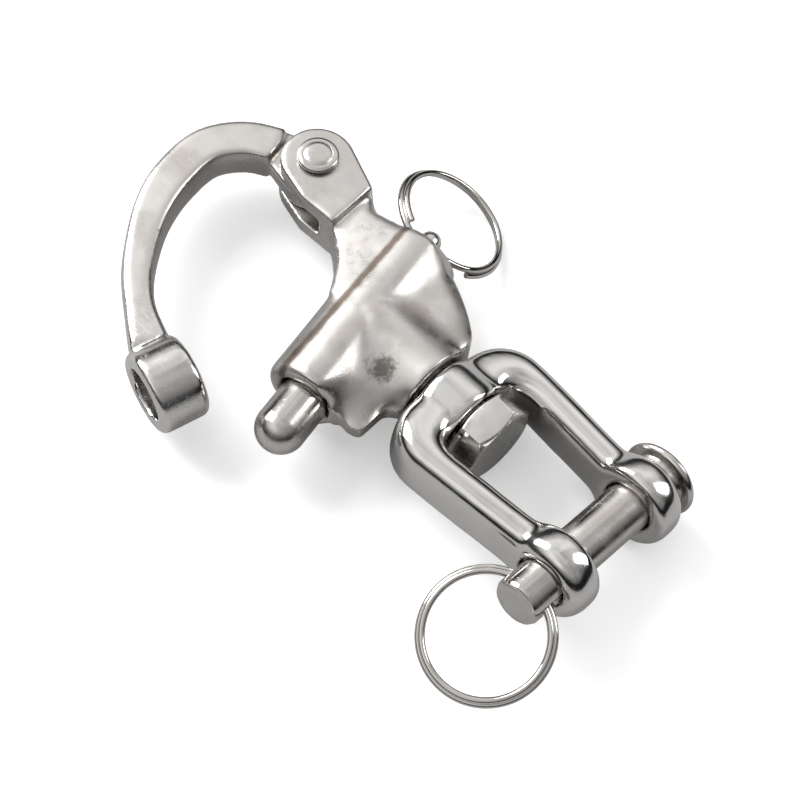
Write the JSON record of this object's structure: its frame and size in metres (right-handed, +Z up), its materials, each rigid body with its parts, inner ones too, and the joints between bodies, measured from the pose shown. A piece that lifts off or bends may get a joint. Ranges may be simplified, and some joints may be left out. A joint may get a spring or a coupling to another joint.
{
  "type": "snap shackle",
  "caption": "Stainless swivel snap shackle: hinged hook gate latched by a sprung plunger with pull ring, and a swivelling clevis fork with a removable pin held by a split ring.",
  "frame": {"origin": "middle of the underside of the shackle as it lies flat, gate partly open", "axes": "+X along the swivel axis from the body towards the clevis fork, +Z up along the gate's rivet, +Y towards the side where the pull ring is"},
  "size_m": [0.1054, 0.0714, 0.0189],
  "materials": {
    "cast_steel": "investment-cast stainless steel, tumbled bright with satin patches and fine scratches",
    "satin_steel": "satin-faced cast stainless steel with polished edges",
    "mirror_steel": "mirror-polished cast stainless steel",
    "polished_steel": "turned and polished stainless steel",
    "bolt_steel": "smooth bright stainless steel",
    "ring_wire": "bright drawn stainless wire",
    "spring_wire": "drawn stainless spring wire"
  },
  "bodies": {
    "body": {"body_casting": "cast_steel", "hinge_rivet": "polished_steel", "swivel_bolt": "bolt_steel", "plunger_spring": "spring_wire"},
    "gate": {"gate": "satin_steel"},
    "plunger": {"plunger": "polished_steel"},
    "pull_ring": {"pull_ring": "ring_wire"},
    "fork": {"fork": "mirror_steel"},
    "clevis_pin": {"clevis_pin": "polished_steel"},
    "clevis_ring": {"clevis_ring": "ring_wire"}
  },
  "joints": [
    {"name": "gate_swing", "type": "hinge", "parent": "body", "child": "gate", "pos_m": [-0.0335, 0.014, 0.00973], "axis": [0, 0, 1], "range_deg": [-85.5, 24.5]},
    {"name": "plunger_slide", "type": "slide", "parent": "body", "child": "plunger", "axis": [-0.1908, 0.9816, 0], "range_m": [0, 0.01], "stiffness_N_per_m": 500, "springref_m": -0.008, "deforming": ["plunger_spring"]},
    {"name": "pull_ring_swing", "type": "hinge", "parent": "plunger", "child": "pull_ring", "pos_m": [-0.01134, 0.01688, 0.00973], "axis": [0.8897, 0.1729, -0.4226], "range_deg": [-45, 95]},
    {"name": "fork_swivel", "type": "hinge", "parent": "body", "child": "fork", "pos_m": [-0.00799, -0.00039, 0.00973], "axis": [1, 0, 0], "continuous": true},
    {"name": "clevis_pin_spin", "type": "hinge", "parent": "fork", "child": "clevis_pin", "pos_m": [0.04201, -0.00039, 0.00973], "axis": [0, 0.9848, -0.1736], "continuous": true},
    {"name": "clevis_ring_swing", "type": "hinge", "parent": "clevis_pin", "child": "clevis_ring", "pos_m": [0.04201, -0.01541, 0.01238], "axis": [0.9994, -0.0061, -0.0344], "range_deg": [-98, 52]}
  ]
}
